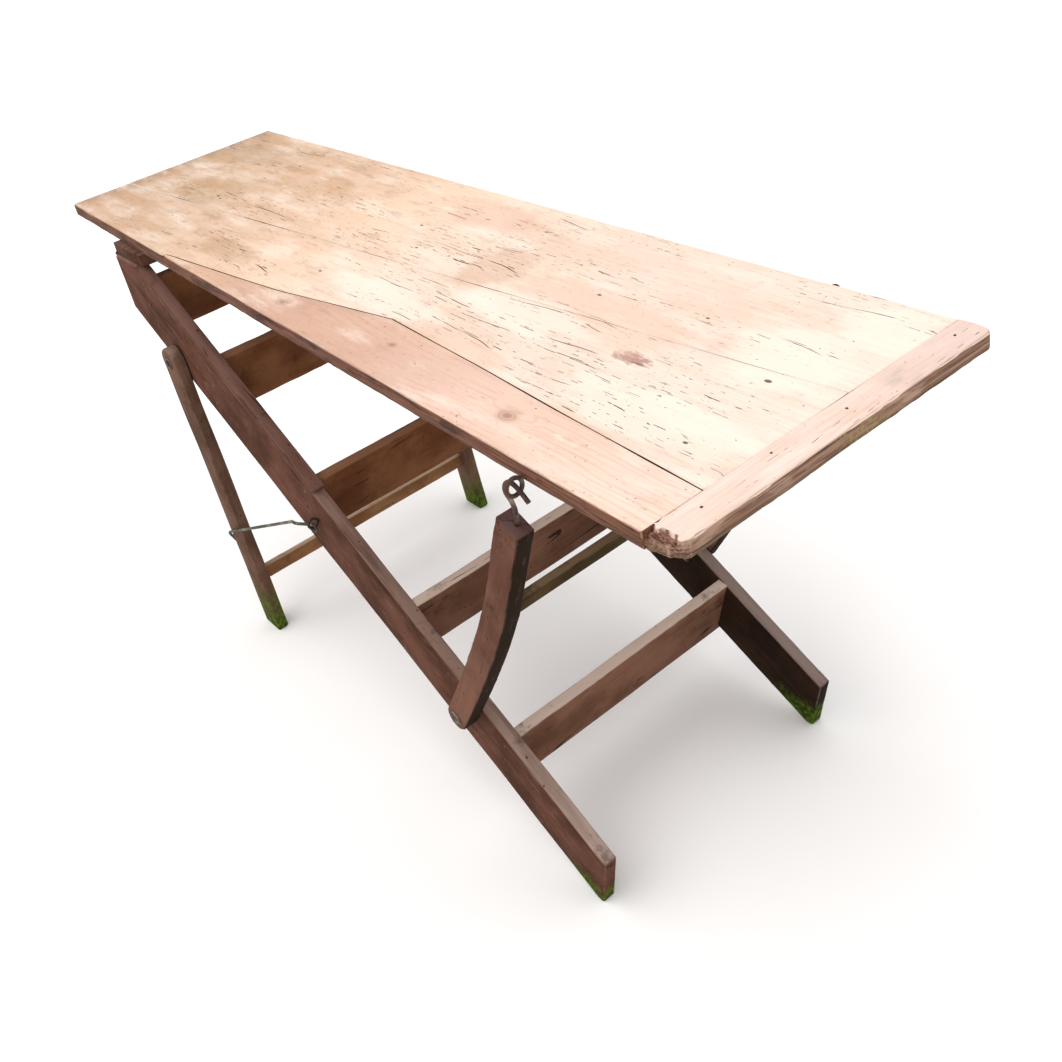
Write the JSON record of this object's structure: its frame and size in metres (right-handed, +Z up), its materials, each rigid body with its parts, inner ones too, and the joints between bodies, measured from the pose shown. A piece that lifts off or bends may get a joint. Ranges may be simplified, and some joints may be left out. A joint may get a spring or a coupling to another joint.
{
  "type": "folding trestle table",
  "caption": "Folding wooden work table with a tapered plank top on a sloping ladder frame, folding legs and bent struts held by iron hooks.",
  "frame": {"origin": "bottom centre of the bounding box, on the floor", "axes": "+X along the top from the hinged end to the breadboard end, +Y from the near long side to the far one, +Z up"},
  "size_m": [1.7, 0.5572, 0.795],
  "materials": {
    "top_wood": "scrubbed bare pine, worn, with open checks",
    "frame_wood": "weathered dark brown pine",
    "board_wood": "aged tan pine",
    "iron": "dull rusty wrought iron, bright where it rubs"
  },
  "bodies": {
    "ladder": {"rail_near": "frame_wood", "rail_far": "frame_wood", "rail_strip_near": "frame_wood", "rail_strip_far": "frame_wood", "crossboard_0": "board_wood", "crossboard_1": "board_wood", "crossboard_2": "board_wood", "crossboard_3": "board_wood", "crossboard_4": "board_wood", "hinge_ladder_leaf_near": "iron", "hinge_ladder_leaf_far": "iron", "hinge_pin_near": "iron", "hinge_pin_far": "iron", "rail_eye_near": "iron", "rail_eye_far": "iron"},
    "top": {"top_near_wedge": "top_wood", "top_middle_plank": "top_wood", "top_far_plank": "top_wood", "top_breadboard_end": "top_wood", "top_batten": "frame_wood", "top_eye_near": "iron", "top_eye_far": "iron", "hinge_top_leaf_near": "iron", "hinge_top_leaf_far": "iron"},
    "legs": {"leg_near": "frame_wood", "leg_far": "frame_wood", "leg_crossbar": "board_wood", "leg_pivot_pin_near": "iron", "leg_pivot_pin_far": "iron"},
    "struts": {"strut_near": "frame_wood", "strut_far": "frame_wood", "strut_crossbar": "board_wood", "strut_bolt_near": "iron", "strut_bolt_far": "iron", "strut_hook_near": "iron", "strut_hook_far": "iron"},
    "leg_hook_near": {"leg_hook_near": "iron"},
    "leg_hook_far": {"leg_hook_far": "iron"}
  },
  "joints": [
    {"name": "top_hinge", "type": "hinge", "parent": "ladder", "child": "top", "pos_m": [-0.62955, 0, 0.7488], "axis": [0, -1, 0], "range_deg": [0, 7.15]},
    {"name": "strut_pivot", "type": "hinge", "parent": "ladder", "child": "struts", "pos_m": [0.297, 0, 0.223], "axis": [0, -1, 0], "range_deg": [0, 85.8]},
    {"name": "leg_pivot", "type": "hinge", "parent": "ladder", "child": "legs", "pos_m": [-0.464, 0, 0.586], "axis": [0, -1, 0], "range_deg": [0, 52]},
    {"name": "leg_hook_near_swing", "type": "hinge", "parent": "ladder", "child": "leg_hook_near", "pos_m": [-0.062, -0.2475, 0.4005], "axis": [0, 1, 0], "range_deg": [0, 18]},
    {"name": "leg_hook_far_swing", "type": "hinge", "parent": "ladder", "child": "leg_hook_far", "pos_m": [-0.062, 0.2475, 0.4005], "axis": [0, 1, 0], "range_deg": [0, 18]}
  ],
  "couplings": [
    {"joint": "strut_pivot", "follows": "top_hinge", "ratio": 12}
  ]
}
